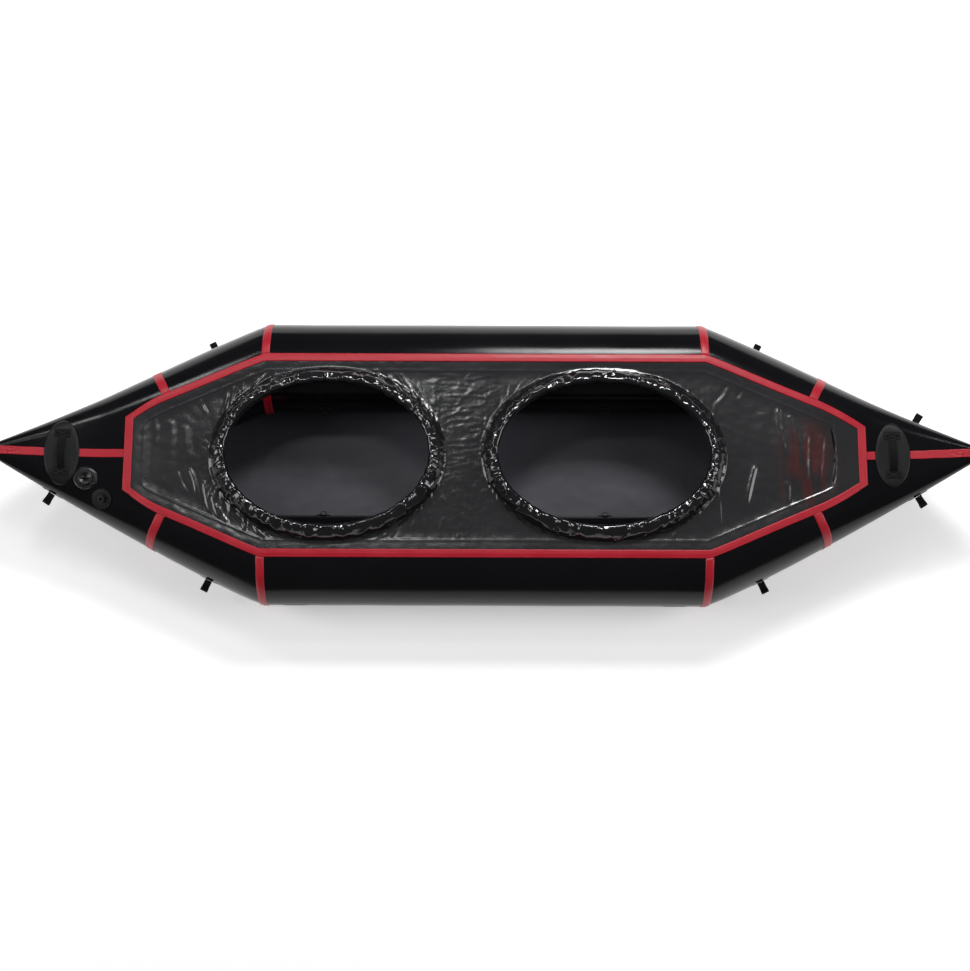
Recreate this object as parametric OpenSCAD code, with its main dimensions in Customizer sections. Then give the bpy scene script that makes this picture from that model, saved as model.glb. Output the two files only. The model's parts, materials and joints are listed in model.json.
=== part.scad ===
// Two-seat decked inflatable kayak: welded air tubes, floor, deck with two coamings,
// grab handles, tie-down loops and valves.
// +X points to the bow, +Y to port, +Z up. The origin is under the middle of the hull,
// on the surface it stands on.

/* [Hull] */
// Length over the two tips
overall_length = 3200; // [3100:1:3840]
// Width over the side tubes
overall_width = 955; // [910:1:1146]
// Outer diameter of the side tubes amidships
tube_d = 300; // [250:1:320]
// Distance from midship to the first seam of each tube
joint_x = 727; // [700:1:750]
// Diameter of each tip
tip_d = 30; // [20:1:60]
// Height of the tips' crown above the side tubes' crown
tip_rise = 55; // [0:1:120]
// Thickness of the coated tube fabric
tube_wall = 1; // [0.6:0.1:2]
// Thickness of the floor fabric
floor_t = 1.4; // [0.8:0.1:3]
// Angle under the tube at which the floor is welded
floor_angle = 32; // [20:1:45]

/* [Seams and tapes] */
// Distance from midship to the second stern seam
stern_seam_x = 1045; // [950:1:1100]
// Distance from midship to the second bow seam
bow_seam_x = 1073; // [950:1:1130]
// Slant of the second seams, as a share of the tube radius
seam_slant = 0.44; // [0:0.01:0.6]
// Width of the red seam tape
tape_w = 27; // [15:1:40]
// Thickness of the seam tape
tape_t = 0.8; // [0.5:0.1:2]
// Height of a tape or patch above a curved tube
tape_lift = 0.8; // [0.6:0.1:2]
// Height of a handle patch above the cone
patch_lift = 1.5; // [1.3:0.1:2]
// Clearance between two pieces that are welded or laid together
weld_gap = 0.3; // [0.2:0.05:0.6]

/* [Deck] */
// Distance from midship to the stern end of the deck
stern_deck_x = 1160; // [1125:1:1190]
// Distance from midship to the bow end of the deck
bow_deck_x = 1226; // [1190:1:1290]
// How far the deck's end corners tuck inwards
deck_tuck = 24; // [5:1:40]
// Thickness of the deck fabric
deck_t = 1; // [0.6:0.1:2]

/* [Cockpits] */
// Distance from midship to the middle of the rear cockpit
rear_cockpit_x = 515; // [490:1:540]
// Half length of the rear opening
rear_half_length = 332; // [260:1:340]
// Distance from midship to the middle of the front cockpit
front_cockpit_x = 388; // [375:1:400]
// Half length of the front opening
front_half_length = 345; // [270:1:350]
// Half width of both openings
cockpit_half_width = 239; // [180:1:245]
// Width of the coaming sleeve on the deck
coaming_w = 50; // [40:1:60]
// Height of the coaming sleeve
coaming_h = 42; // [36:1:60]
// Diameter of the hoop inside the sleeve
hoop_d = 14; // [8:1:18]
// Clearance round the hoop
hoop_gap = 0.6; // [0.5:0.1:1]

/* [Grab handles] */
// Distance from midship to the stern handle
stern_handle_x = 1380; // [1340:1:1400]
// Distance from midship to the bow handle
bow_handle_x = 1330; // [1320:1:1380]
// Length of a handle patch along the hull
patch_length = 110; // [90:1:130]
// Width of a handle patch across the hull
patch_width = 216; // [180:1:230]
// Thickness of a handle patch
patch_t = 1; // [0.6:0.1:2]
// Distance between the ends of a strap
strap_span = 100; // [80:1:110]
// Height of the arched strap over its ends
strap_rise = 20; // [14:1:30]
// Width of the webbing
webbing_w = 24; // [15:1:27]
// Thickness of the webbing
webbing_t = 1.8; // [1:0.1:3]
// Height of a strap's ends above the patch
strap_foot = 8; // [7.5:0.1:12]

/* [Tie-down loops] */
// Distance from midship to the middle pairs of loops
side_loop_x = 915; // [850:1:950]
// Distance from midship to the end loops
end_loop_x = 1422; // [1400:1:1450]
// Length of a loop's flat root
loop_root = 26; // [15:1:40]
// Radius of the hole at a loop's end
eye_r = 6; // [4:0.5:9]
// Length of a tie-down's base patch
base_l = 56; // [40:1:70]
// Height of a tie-down's base patch
base_h = 34; // [20:1:40]

/* [Valves] */
// Distance from midship to the inflation valve
inflation_x = 1300; // [1290:1:1310]
// Distance from the centreline to the inflation valve
inflation_y = 85; // [80:1:90]
// Radius of the inflation valve's flange
inflation_flange_r = 38; // [36:0.5:40]
// Radius of the inflation valve's neck
neck_r = 19.5; // [18:0.5:20]
// Radius of the bore through the neck
neck_bore_r = 15; // [13:0.5:15]
// Height of the neck above the hull
neck_h = 7; // [6:0.5:9]
// Radius of the inflation cap
cap_r = 22; // [21:0.5:23]
// Height of the inflation cap
cap_h = 6; // [5:0.5:8]
// Distance from midship to the mouth valve
mouth_x = 1246; // [1240:1:1250]
// Distance from the centreline to the mouth valve
mouth_y = 150; // [146:1:154]
// Radius of the mouth valve's flange
mouth_flange_r = 33; // [30:0.5:34]
// Radius of the mouth valve's bore
mouth_bore_r = 9; // [7:0.5:10]
// Thickness of both valve flanges
flange_t = 1.6; // [1:0.1:2.5]
// Height of a flat flange above the curved hull
flange_lift = 1.8; // [1.6:0.1:3]
// Running clearance of the valves' moving pieces
valve_gap = 0.3; // [0.2:0.05:0.5]

/* [Hidden] */
$fn = 64;

half_l = overall_length / 2;
half_w = overall_width / 2;
tube_r = tube_d / 2;
tip_r = tip_d / 2;
tip_half = tip_r + 5;
ring_n = 40;
oval_n = 56;
// The upper side of the hull rises from here to the tips
rise_x = max(bow_deck_x, stern_deck_x) + tape_w;
// The tubes start to merge beyond the second seams
merge_x = max(bow_seam_x, stern_seam_x) + tape_w / 2;
// The tubes stand on the tapes that pass under them
deck_z = tube_d + tape_lift + tape_t;

// Share of the way from the first seam to the tip, at distance d from midship
function run(d) = max(0, d - joint_x) / (half_l - joint_x);
function half_width(d) = half_w - (half_w - tip_half) * pow(run(d), 1.1);
function radius(d) = tube_r - (tube_r - tip_r) * pow(run(d), 2.1);
function centre_y(d) = half_width(d) - radius(d);
function crown(d) = deck_z + tip_rise * pow(max(0, d - rise_x) / (half_l - rise_x), 1.5);
function centre_z(d) = crown(d) - radius(d);
// 0 where the two tubes are round and apart, 1 where they have merged into one cone
function merged(d) = min(1, max(0, d - merge_x) / (stern_deck_x - merge_x - tape_w / 2));
function inner_half(d) = radius(d) * (1 - merged(d)) + (centre_y(d) - weld_gap) * merged(d);

// Unit section: a circle whose inner half turns square as the tubes merge
function square_off(a) = 1 / max(abs(cos(a)), abs(sin(a)));
function section_scale(a, d) = cos(a) < -0.001 ? 1 + (square_off(a) - 1) * merged(d) : 1;

// Point of the hull's skin; a is 0 outboard, 90 at the crown, 180 inboard, 270 below
function skin(d, a, off, slant) =
    let (s = d + slant * radius(d) * cos(a),
         k = section_scale(a, s),
         side = cos(a) < -0.001 ? inner_half(s) : radius(s))
    [s, centre_y(s) + k * (side + off) * cos(a), centre_z(s) + k * (radius(s) + off) * sin(a)];

// Height of the hull's upper skin at distance d and offset y from the centreline
function top_z(d, y) =
    let (out = max(0, abs(y) - centre_y(d)))
    centre_z(d) + sqrt(max(0, pow(radius(d), 2) - out * out));
function slope(d) = atan((crown(d + 1) - crown(d - 1)) / 2);
// Outward unit normal of the upper skin, and of the skin at angle a
function unit(v) = v / norm(v);
function top_normal(d, y) =
    unit([top_z(d - 1, y) - top_z(d + 1, y), top_z(d, y - 1) - top_z(d, y + 1), 2]);
function side_normal(d, a) =
    unit(cross(skin(d, a + 1, 0, 0) - skin(d, a - 1, 0, 0), skin(d + 1, a, 0, 0) - skin(d - 1, a, 0, 0)));

function deck_half(d, seam_x, deck_x) =
    centre_y(d) - deck_tuck * pow(max(0, d - seam_x) / (deck_x - seam_x), 2);

function ring(d, off, slant, n) = [for (i = [0 : n - 1]) skin(d, i * 360 / n, off, slant)];
function span(from, to, steps) = [for (i = [0 : steps]) from + (to - from) * i / steps];

// Walls between successive loops of n points, closed round each loop
function walls(loops, n, start, flip) = [
    for (j = [0 : loops - 2], i = [0 : n - 1])
        let (a = start + j * n + i, b = start + j * n + (i + 1) % n)
        each flip ? [[a, a + n, b + n], [a, b + n, b]] : [[a, b, b + n], [a, b + n, a + n]]
];
// Flat ring of faces that joins loop a to loop b
function rim(a, b, n, flip) = [
    for (i = [0 : n - 1])
        let (k = (i + 1) % n)
        each flip ? [[a + i, a + k, b + k], [a + i, b + k, b + i]]
                  : [[a + i, b + i, b + k], [a + i, b + k, a + k]]
];

// Hollow wall between two skins along a list of [distance, slant] stations
module shell(stations, outer, inner, closed_tip = false) {
    n = ring_n;
    count = len(stations);
    inner_last = closed_tip ? [stations[count - 1][0] - tube_wall, 0] : stations[count - 1];
    inner_stations = concat([for (i = [0 : count - 2]) stations[i]], [inner_last]);
    outer_points = [for (s = stations) each ring(s[0], outer, s[1], n)];
    inner_points = [for (s = inner_stations) each ring(s[0], inner, s[1], n)];
    base = count * n;
    tip_faces = closed_tip
        ? [[for (i = [n - 1 : -1 : 0]) base - n + i], [for (i = [0 : n - 1]) 2 * base - n + i]]
        : rim(base - n, 2 * base - n, n, false);
    polyhedron(
        concat(outer_points, inner_points),
        concat(walls(count, n, 0, true), walls(count, n, base, false),
               rim(0, base, n, true), tip_faces),
        convexity = 6);
}

// Strip of skin from angle a0 down through n facets, laid over the seam at distance d
module band(d, a0, n, slant) {
    low = tape_lift;
    high = tape_lift + tape_t;
    w = tape_w / 2;
    points = [
        for (i = [0 : n])
            let (a = a0 - 360 / ring_n * i)
            each [skin(d - w, a, low, slant), skin(d, a, low, slant), skin(d + w, a, low, slant),
                  skin(d + w, a, high, slant), skin(d, a, high, slant), skin(d - w, a, high, slant)]
    ];
    polyhedron(points,
        concat([[5, 4, 1, 0], [4, 3, 2, 1]], walls(n + 1, 6, 0, false),
               [[n * 6, n * 6 + 1, n * 6 + 4, n * 6 + 5], [n * 6 + 1, n * 6 + 2, n * 6 + 3, n * 6 + 4]]),
        convexity = 6);
}

module port() {
    children();
}
module starboard() {
    mirror([0, 1, 0]) children();
}
module bow() {
    children();
}
module stern() {
    mirror([1, 0, 0]) children();
}

// ---- air tubes ----

module mid_tube() {
    color("#17181c")
    translate([-joint_x + weld_gap / 2, half_w - tube_r, centre_z(0)]) rotate([0, 90, 0])
        difference() {
            cylinder(h = 2 * joint_x - weld_gap, r = tube_r, $fn = 96);
            translate([0, 0, -1]) cylinder(h = 2 * joint_x + 2, r = tube_r - tube_wall, $fn = 96);
        }
}

// Tapering tube from the first seam to the slanted second seam
module shoulder_tube(seam_x) {
    steps = 5;
    color("#17181c")
    shell([for (i = [0 : steps])
               [joint_x + weld_gap / 2 + (seam_x - joint_x - weld_gap) * i / steps,
                seam_slant * i / steps]],
          0, -tube_wall);
}

// Half of the pointed end, from the slanted second seam to the tip
module cone_half(seam_x) {
    steps = 10;
    color("#17181c")
    shell(concat([[seam_x + weld_gap / 2, seam_slant]],
                 [for (i = [0 : steps])
                      [merge_x + (half_l - merge_x) * i / steps, seam_slant * max(0, 0.75 - i / 4)]]),
          0, -tube_wall, closed_tip = true);
}

// ---- floor and deck ----

// Where the floor meets the tubes, and how far off their skin its lower edge stays
floor_a = 270 - floor_angle;
floor_off = tape_lift + tape_t + 2 * weld_gap + floor_t * cos(floor_angle);

// Floor welded to the lower inner side of the tubes, whose upper edge stays clear of the tapes
module floor_sheet() {
    stations = concat(
        [for (d = span(stern_seam_x - 10, joint_x, 10)) -d],
        [for (d = span(joint_x, bow_seam_x - 10, 10)) d]);
    points = [
        for (x = stations)
            let (p = skin(abs(x), floor_a, floor_off, 0))
            each [[x, -p[1], p[2]], [x, p[1], p[2]], [x, p[1], p[2] + floor_t],
                  [x, -p[1], p[2] + floor_t]]
    ];
    last = 4 * (len(stations) - 1);
    color("#3a3a40")
    polyhedron(points,
        concat([[3, 2, 1, 0]], walls(len(stations), 4, 0, false), [[for (i = [0 : 3]) last + i]]),
        convexity = 4);
}

function deck_edge(grow) = concat(
    [for (d = span(bow_deck_x, joint_x, 12)) [d, deck_half(d, bow_seam_x, bow_deck_x) + grow]],
    [for (d = span(joint_x, stern_deck_x, 12)) [-d, deck_half(d, stern_seam_x, stern_deck_x) + grow]]);
function flip_y(points) = [for (i = [len(points) - 1 : -1 : 0]) [points[i][0], -points[i][1]]];

function oval(cx, a, b) = [for (i = [0 : oval_n - 1])
    [cx + a * cos(i * 360 / oval_n), b * sin(i * 360 / oval_n)]];

module deck_sheet() {
    color("#3b3b41")
    translate([0, 0, deck_z + weld_gap]) linear_extrude(deck_t) difference() {
        polygon(concat(deck_edge(0), flip_y(deck_edge(0))));
        polygon(oval(-rear_cockpit_x, rear_half_length, cockpit_half_width));
        polygon(oval(front_cockpit_x, front_half_length, cockpit_half_width));
    }
}

deck_top = deck_z + weld_gap + deck_t;

// Tape along one side of the deck
module side_tape() {
    color("#c01828")
    translate([0, 0, deck_top]) linear_extrude(tape_t)
        polygon(concat(deck_edge(tape_w / 2),
                       [for (i = [len(deck_edge(0)) - 1 : -1 : 0])
                            deck_edge(0)[i] - [0, tape_w / 2]]));
}

// Tape across one end of the deck, between the side tapes
module end_tape(seam_x, deck_x) {
    half = deck_half(deck_x, seam_x, deck_x) + tape_w / 2;
    color("#c01828")
    translate([deck_x + weld_gap, -half, deck_top]) cube([tape_w / 2 + tape_w / 4, 2 * half, tape_t]);
}

// Tape round the first seam, open under the deck
module first_tape() {
    color("#c01828") band(joint_x, 72, 36, 0);
}
module second_tape(seam_x) {
    color("#c01828") band(seam_x, 72, 35, seam_slant);
}

// Tape along the top of the cone from the deck to the tip, stopping at the handle patch
module centre_tape_piece(from, to) {
    n = 6;
    points = [for (d = span(from, to, n))
        let (half = min(tape_w / 2, centre_y(d) + radius(d) * 0.2), z = top_z(d, half) + tape_lift)
        each [[d, -half, z], [d, half, z], [d, half, z + tape_t], [d, -half, z + tape_t]]];
    polyhedron(points,
        concat([[3, 2, 1, 0]], walls(n + 1, 4, 0, false), [[for (i = [0 : 3]) n * 4 + i]]));
}
module centre_tape(deck_x, handle_x) {
    color("#c01828") {
        centre_tape_piece(deck_x + tape_w + 1, handle_x - patch_length / 2 - 2 * weld_gap);
        centre_tape_piece(handle_x + patch_length / 2 + 2 * weld_gap, half_l - 2);
    }
}

// ---- cockpit coamings ----

// Point at angle t round an oval, moved out by u, at height z
function round_oval(cx, a, b, t, u, z) =
    let (nx = cos(t) / a, ny = sin(t) / b, m = sqrt(nx * nx + ny * ny))
    [cx + a * cos(t) + u * nx / m, b * sin(t) + u * ny / m, z];

module oval_sweep(cx, a, b, profile) {
    n = len(profile);
    points = [for (i = [0 : oval_n - 1]) each [for (p = profile)
        round_oval(cx, a, b, i * 360 / oval_n, p[0], p[1])]];
    faces = [for (j = [0 : oval_n - 1], i = [0 : n - 1])
        let (k = (i + 1) % n, m = (j + 1) % oval_n)
        each [[j * n + i, j * n + k, m * n + k], [j * n + i, m * n + k, m * n + i]]];
    polyhedron(points, faces, convexity = 8);
}

// Fabric kept round the hoop
hoop_cover = 6;
hoop_u = -coaming_w / 2 + hoop_d / 2 + hoop_cover;
hoop_z = coaming_h - hoop_d / 2 - hoop_cover;

// Folded fabric sleeve round a cockpit, with the hoop's tunnel inside its upper edge
module sleeve(cx, half_length) {
    w = coaming_w / 2;
    h = coaming_h;
    outline = [[w, 0], [w - 3, 8], [w * 0.4, h * 0.72], [0, h * 0.93], [-w * 0.4, h],
               [-w * 0.8, h * 0.94], [-w, h * 0.75], [-w * 0.96, h * 0.4], [-w, 0]];
    tunnel = [for (i = [0 : 7]) [hoop_u, hoop_z]
        + (hoop_d / 2 + hoop_gap) * [cos(i * 45), sin(i * 45)]];
    color("#1c1c20")
    translate([0, 0, deck_top]) difference() {
        oval_sweep(cx, half_length + w, cockpit_half_width + w, outline);
        oval_sweep(cx, half_length + w, cockpit_half_width + w, tunnel);
    }
}

module hoop(cx, half_length) {
    w = coaming_w / 2;
    profile = [for (i = [0 : 7]) [hoop_u, hoop_z] + hoop_d / 2 * [cos(i * 45), sin(i * 45)]];
    color("#2c2c30")
    translate([0, 0, deck_top]) oval_sweep(cx, half_length + w, cockpit_half_width + w, profile);
}

// ---- grab handles ----

// Oval patch draped over the cone's upper side
module handle_patch(handle_x) {
    n = 36;
    rows = 6;
    function spot(row, i, off) =
        let (x = handle_x + patch_length / 2 * row / rows * cos(i * 360 / n),
             y = patch_width / 2 * row / rows * sin(i * 360 / n))
        [x, y, top_z(x, y) + off];
    top = patch_lift + patch_t;
    points = concat(
        [for (row = [1 : rows], i = [0 : n - 1]) spot(row, i, top)],
        [for (row = [rows : -1 : 1], i = [0 : n - 1]) spot(row, i, patch_lift)]);
    color("#1b1c20")
    polyhedron(points,
        concat([[for (i = [n - 1 : -1 : 0]) i]], walls(2 * rows, n, 0, false),
               [[for (i = [0 : n - 1]) (2 * rows - 1) * n + i]]),
        convexity = 4);
}

// Places children on the patch over the centreline, level with the cone's slope there
module at_handle(handle_x) {
    translate([handle_x, 0, crown(handle_x) + patch_lift + patch_t + weld_gap])
        rotate([0, -slope(handle_x), 0]) children();
}

// Flat end tabs, each with the fold that holds the strap
module handle_tabs(handle_x) {
    color("#202126")
    at_handle(handle_x)
        for (side = [-1, 1]) translate([0, side * (strap_span / 2 + 2), 0]) {
            translate([-webbing_w - 2, side * 12 - 13, 0]) cube([2 * webbing_w + 4, 26, webbing_t]);
            translate([-1, side > 0 ? -5 : 1, 0]) cube([2, 4, strap_foot - webbing_t - 0.3]);
        }
}

// Webbing arched between the tabs
module handle_strap(handle_x) {
    c = strap_span / 2;
    bend_r = (c * c + strap_rise * strap_rise) / (2 * strap_rise);
    sweep = asin(c / bend_r);
    color("#26272c")
    at_handle(handle_x)
        translate([0, 0, strap_foot + strap_rise - bend_r])
            rotate([0, -90, 0]) rotate([0, 0, -sweep])
                rotate_extrude(angle = 2 * sweep, $fn = 96)
                    translate([bend_r - webbing_t, -webbing_w / 2]) square([webbing_t, webbing_w]);
}

// ---- tie-down loops ----

loop_angle = -12;

// Places children at the hull's side: X along the hull, Z outwards
module at_side(d) {
    out = side_normal(d, loop_angle);
    translate(skin(d, loop_angle, weld_gap, 0))
        rotate([0, 0, -atan2(out[0], out[1])]) rotate([asin(out[2]) - 90, 0, 0]) children();
}

module tie_down_patch(d) {
    translate([-base_l / 2, -base_h / 2, 0]) cube([base_l, base_h, patch_t]);
}

loop_pivot = patch_t + weld_gap + webbing_t;

module tie_down_loop() {
    eye_z = loop_pivot + loop_root + eye_r + webbing_t / 2;
    color("#26272c")
    difference() {
        union() {
            translate([-webbing_w / 2, 0, loop_pivot]) rotate([0, 90, 0])
                cylinder(h = webbing_w, r = webbing_t);
            translate([-webbing_w / 2, -webbing_t, loop_pivot])
                cube([webbing_w, 2 * webbing_t, loop_root + webbing_t]);
            translate([-webbing_w / 2, 0, eye_z]) rotate([0, 90, 0])
                cylinder(h = webbing_w, r = eye_r + webbing_t);
        }
        translate([-webbing_w / 2 - 1, 0, eye_z]) rotate([0, 90, 0])
            cylinder(h = webbing_w + 2, r = eye_r);
    }
}

// ---- seat anchors ----

// Small webbing arch on its own base
module anchor() {
    translate([-22, -14, 0]) cube([44, 28, patch_t]);
    translate([0, 0, patch_t]) rotate([90, 0, 0]) difference() {
        translate([0, 0, -8]) cylinder(h = 16, r = 11);
        translate([0, 0, -9]) cylinder(h = 18, r = 9.5);
        translate([-20, -40, -10]) cube([40, 40, 20]);
    }
}

// Four anchors for one seat, two on the floor and two on the tubes
module seat_anchors(x) {
    floor_y = half_w - tube_r - tube_r * sin(floor_angle) - 34;
    floor_z = skin(0, floor_a, floor_off, 0)[2] + floor_t + weld_gap;
    wall_a = 168;
    p = skin(0, wall_a, weld_gap, 0);
    color("#2a2a2f")
    for (side = [0, 1]) mirror([0, side, 0]) {
        translate([x, floor_y, floor_z]) anchor();
        translate([x, p[1], p[2]]) rotate([90 - (180 - wall_a), 0, 0]) anchor();
    }
}

// ---- valves ----

// Places children on the stern's starboard side, Z square to the skin
module on_stern(d, y) {
    out = top_normal(d, y);
    mirror([1, 0, 0]) mirror([0, 1, 0]) translate([d, y, top_z(d, y)])
        rotate([-asin(out[1]), atan2(out[0], out[2]), 0]) mirror([1, 0, 0]) mirror([0, 1, 0])
            children();
}

// Hole through the tube fabric for a valve's body
module valve_hole(r) {
    translate([0, 0, -16]) cylinder(h = 24, r = r + valve_gap);
}

module flange(r, hole_r) {
    difference() {
        union() {
            translate([0, 0, flange_lift]) cylinder(h = flange_t, r = r);
            translate([0, 0, flange_lift + flange_t]) difference() {
                cylinder(h = 1.2, r = r);
                translate([0, 0, -1]) cylinder(h = 4, r = r - 3.5);
            }
        }
        cylinder(h = 10, r = hole_r);
    }
}

hinge_r = 31;
hinge_rise = 1.6;
hinge_z = neck_h + hinge_rise;
pin_r = 1.1;

module inflation_flange() {
    color("#26272b") on_stern(inflation_x, inflation_y) {
        flange(inflation_flange_r, neck_r + valve_gap);
        rotate([0, 0, -45]) {
            for (side = [-1, 1]) translate([hinge_r - 2.5, side * 5.5 - 1.25, flange_lift + 1])
                cube([5, 2.5, hinge_z + 1.5 - flange_lift]);
            translate([hinge_r, -6.75, hinge_z]) rotate([-90, 0, 0]) cylinder(h = 13.5, r = pin_r);
        }
    }
}

seat_z = -9;
button_z = 3;

// Threaded neck with its seat and the spider that guides the poppet's stem
module inflation_neck() {
    color("#1b1b1f") on_stern(inflation_x, inflation_y) {
        difference() {
            translate([0, 0, -15]) cylinder(h = 15 + neck_h, r = neck_r);
            translate([0, 0, -16]) cylinder(h = 30, r = neck_bore_r);
        }
        translate([0, 0, seat_z]) difference() {
            cylinder(h = 1.5, r = neck_bore_r + 0.5);
            translate([0, 0, -1]) cylinder(h = 4, r = neck_bore_r - 3);
        }
        difference() {
            union() {
                translate([0, 0, -6]) cylinder(h = 2, r = 4);
                for (a = [0, 120, 240]) rotate([0, 0, a])
                    translate([3, -1, -6]) cube([neck_bore_r - 2.5, 2, 2]);
            }
            translate([0, 0, -7]) cylinder(h = 4, r = 2 + valve_gap);
        }
    }
}

// Spring-loaded disc on a stem, closed upwards against the seat
module inflation_poppet() {
    color("#8d9094") on_stern(inflation_x, inflation_y) {
        translate([0, 0, seat_z - valve_gap - 2]) cylinder(h = 2, r = neck_bore_r - 1.5);
        translate([0, 0, seat_z - valve_gap - 1]) cylinder(h = button_z - seat_z + 1.5, r = 2);
        translate([0, 0, button_z]) cylinder(h = 1.5, r = 5);
    }
}

spring_r = 3.6;
wire_r = 0.4;

module inflation_spring() {
    turns = 4;
    per_turn = 14;
    sides = 6;
    low = -4 + wire_r + 0.05;
    high = button_z - wire_r - 0.05;
    count = turns * per_turn;
    points = [for (i = [0 : count]) each [for (k = [0 : sides - 1])
        let (r = spring_r + wire_r * cos(k * 60))
        [r * cos(i * 360 / per_turn), r * sin(i * 360 / per_turn),
         low + (high - low) * i / count + wire_r * sin(k * 60)]]];
    color("#b9bcc0") on_stern(inflation_x, inflation_y)
        polyhedron(points,
            concat([[for (k = [0 : sides - 1]) k]], walls(count + 1, sides, 0, true),
                   [[for (k = [sides - 1 : -1 : 0]) count * sides + k]]),
            convexity = 10);
}

module inflation_seal() {
    color("#101012") on_stern(inflation_x, inflation_y)
        translate([0, 0, neck_h + 0.8]) rotate_extrude()
            translate([neck_r - 2.2, 0]) circle(r = 0.8, $fn = 24);
}

cap_z = neck_h + 1.8;
ring_inner = cap_r - 3;

// Ring that the cap turns in, with the arm to the hinge pin
module inflation_tether() {
    color("#222226") on_stern(inflation_x, inflation_y) rotate([0, 0, -45]) difference() {
        union() {
            translate([0, 0, cap_z + 2]) cylinder(h = 1.6, r = ring_inner + 2.6);
            translate([ring_inner + 0.5, -3, cap_z + 2]) cube([hinge_r - ring_inner - 0.5, 6, 1.6]);
            translate([hinge_r - 2.4, -3, hinge_z]) cube([4.8, 6, cap_z + 3.6 - hinge_z]);
            translate([hinge_r, -3, hinge_z]) rotate([-90, 0, 0]) cylinder(h = 6, r = 2.4);
        }
        translate([0, 0, cap_z]) cylinder(h = 10, r = ring_inner);
        translate([hinge_r, -4, hinge_z]) rotate([-90, 0, 0]) cylinder(h = 8, r = pin_r + valve_gap);
    }
}

// Cap with a groove for the tether's ring and a finger bar
module inflation_cap() {
    color("#141417") on_stern(inflation_x, inflation_y) {
        translate([0, 0, cap_z]) cylinder(h = 1.7, r = cap_r);
        translate([0, 0, cap_z + 1]) cylinder(h = 4, r = ring_inner - valve_gap);
        translate([0, 0, cap_z + 3.6 + valve_gap]) cylinder(h = cap_h - 3.6 - valve_gap, r = cap_r);
        translate([-cap_r + 5, -2, cap_z + cap_h - 0.5]) cube([2 * cap_r - 10, 4, 4.5]);
    }
}

module mouth_flange() {
    color("#202024") on_stern(mouth_x, mouth_y) flange(mouth_flange_r, mouth_bore_r + 6 + valve_gap);
}

module mouth_body() {
    color("#19191c") on_stern(mouth_x, mouth_y) difference() {
        union() {
            translate([0, 0, -14]) cylinder(h = 20, r = mouth_bore_r + 6);
            translate([0, 0, 4]) cylinder(h = 3, r = mouth_bore_r + 7.5);
        }
        translate([0, 0, -12]) cylinder(h = 30, r = mouth_bore_r);
        translate([0, 0, -20]) cylinder(h = 20, r = 4);
    }
}

// Twist-lock tube with a ribbed head
module mouth_nozzle() {
    head_r = mouth_bore_r + 3.5;
    color("#101013") on_stern(mouth_x, mouth_y) difference() {
        union() {
            translate([0, 0, -9]) cylinder(h = 18, r = mouth_bore_r - valve_gap);
            translate([0, 0, 7 + valve_gap]) cylinder(h = 6, r = head_r);
            for (i = [0 : 11]) rotate([0, 0, i * 30])
                translate([head_r - 0.5, -0.9, 7 + valve_gap]) cube([1.3, 1.8, 6]);
        }
        translate([0, 0, -10]) cylinder(h = 40, r = 4.5);
    }
}

port() mid_tube();  // port_mid_tube
starboard() mid_tube();  // starboard_mid_tube
port() stern() shoulder_tube(stern_seam_x);  // port_aft_tube
starboard() stern() shoulder_tube(stern_seam_x);  // starboard_aft_tube
port() bow() shoulder_tube(bow_seam_x);  // port_fore_tube
starboard() bow() shoulder_tube(bow_seam_x);  // starboard_fore_tube
port() stern() cone_half(stern_seam_x);  // port_stern_cone
color("#17181c") difference() {  // starboard_stern_cone
    starboard() stern() cone_half(stern_seam_x);
    on_stern(inflation_x, inflation_y) valve_hole(neck_r);
    on_stern(mouth_x, mouth_y) valve_hole(mouth_bore_r + 6);
}
port() bow() cone_half(bow_seam_x);  // port_bow_cone
starboard() bow() cone_half(bow_seam_x);  // starboard_bow_cone
floor_sheet();
deck_sheet();
port() side_tape();  // port_deck_tape
starboard() side_tape();  // starboard_deck_tape
stern() end_tape(stern_seam_x, stern_deck_x);  // stern_deck_tape
bow() end_tape(bow_seam_x, bow_deck_x);  // bow_deck_tape
port() stern() first_tape();  // port_aft_tape
starboard() stern() first_tape();  // starboard_aft_tape
port() bow() first_tape();  // port_fore_tape
starboard() bow() first_tape();  // starboard_fore_tape
port() stern() second_tape(stern_seam_x);  // port_stern_tape
starboard() stern() second_tape(stern_seam_x);  // starboard_stern_tape
port() bow() second_tape(bow_seam_x);  // port_bow_tape
starboard() bow() second_tape(bow_seam_x);  // starboard_bow_tape
stern() centre_tape(stern_deck_x, stern_handle_x);  // stern_centre_tape
bow() centre_tape(bow_deck_x, bow_handle_x);  // bow_centre_tape
sleeve(-rear_cockpit_x, rear_half_length);  // rear_coaming_sleeve
sleeve(front_cockpit_x, front_half_length);  // front_coaming_sleeve
hoop(-rear_cockpit_x, rear_half_length);  // rear_coaming_hoop
hoop(front_cockpit_x, front_half_length);  // front_coaming_hoop
stern() handle_patch(stern_handle_x);  // stern_handle_patch
bow() handle_patch(bow_handle_x);  // bow_handle_patch
stern() handle_tabs(stern_handle_x);  // stern_handle_tabs
bow() handle_tabs(bow_handle_x);  // bow_handle_tabs
stern() handle_strap(stern_handle_x);  // stern_handle_strap
bow() handle_strap(bow_handle_x);  // bow_handle_strap
color("#1b1c20") {  // tie_down_patches
    for (x = [side_loop_x, end_loop_x]) starboard() stern() at_side(x) tie_down_patch();
    for (x = [side_loop_x, end_loop_x]) starboard() bow() at_side(x) tie_down_patch();
    for (x = [side_loop_x, end_loop_x]) port() bow() at_side(x) tie_down_patch();
    port() stern() at_side(side_loop_x) tie_down_patch();
}
port() stern() at_side(side_loop_x) tie_down_loop();  // port_aft_loop
port() bow() at_side(side_loop_x) tie_down_loop();  // port_fore_loop
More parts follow.
